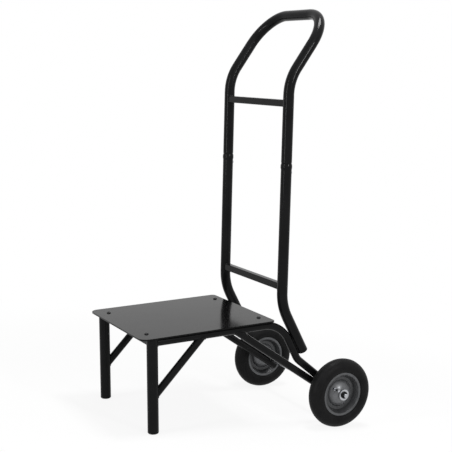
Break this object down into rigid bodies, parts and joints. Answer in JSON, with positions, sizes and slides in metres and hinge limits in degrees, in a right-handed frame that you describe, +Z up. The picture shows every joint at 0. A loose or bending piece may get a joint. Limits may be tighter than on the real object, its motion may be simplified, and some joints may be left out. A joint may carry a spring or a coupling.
{
  "type": "stacking chair trolley",
  "caption": "Black steel-tube trolley for stacked chairs: a flat rounded deck on short front legs, a tall loop handle bent back at the top and rubber-tyred wheels on a rear axle.",
  "frame": {"origin": "on the floor, below the middle of the part's box", "axes": "+Z up from the floor; +Y to the rear, where the handle and wheels are; +X to the right as seen from the front; the part stands on its feet and tyres, so its deck slopes down to the front"},
  "size_m": [0.4946, 0.7246, 1.1707],
  "materials": {
    "frame_paint": "gloss black paint",
    "deck_paint": "satin black paint",
    "black_plastic": "moulded, fine matt grain",
    "black_steel": "black oxide",
    "zinc_steel": "bright zinc plate",
    "rim_paint": "satin dark grey paint",
    "tyre_rubber": "smooth moulded rubber"
  },
  "bodies": {
    "frame": {"deck_plate": "deck_paint", "deck_screws": "black_steel", "front_deck_bar": "frame_paint", "rear_deck_bar": "frame_paint", "left_leg": "frame_paint", "right_leg": "frame_paint", "foot_caps": "black_plastic", "left_leg_brace": "frame_paint", "right_leg_brace": "frame_paint", "left_side_rail": "frame_paint", "right_side_rail": "frame_paint", "rail_end_caps": "black_plastic", "left_axle_strut": "frame_paint", "right_axle_strut": "frame_paint", "strut_end_caps": "black_plastic", "left_upright": "frame_paint", "right_upright": "frame_paint", "upright_end_caps": "black_plastic", "lower_rung": "frame_paint", "handle_tube": "frame_paint", "upper_rung": "frame_paint", "joint_screws": "zinc_steel", "axle_rod": "zinc_steel", "axle_spacers": "zinc_steel", "axle_washers": "zinc_steel", "axle_end_caps": "black_plastic"},
    "left_wheel": {"left_tyre": "tyre_rubber", "left_outer_rim": "rim_paint", "left_inner_rim": "rim_paint", "left_hub": "zinc_steel", "left_hub_bushes": "black_plastic", "left_tyre_valve": "zinc_steel"},
    "right_wheel": {"right_tyre": "tyre_rubber", "right_outer_rim": "rim_paint", "right_inner_rim": "rim_paint", "right_hub": "zinc_steel", "right_hub_bushes": "black_plastic", "right_tyre_valve": "zinc_steel"}
  },
  "joints": [
    {"name": "left_wheel_spin", "type": "hinge", "parent": "frame", "child": "left_wheel", "pos_m": [-0.2105, 0.26227, 0.1], "axis": [1, 0, 0], "continuous": true},
    {"name": "right_wheel_spin", "type": "hinge", "parent": "frame", "child": "right_wheel", "pos_m": [0.2105, 0.26227, 0.1], "axis": [1, 0, 0], "continuous": true}
  ]
}
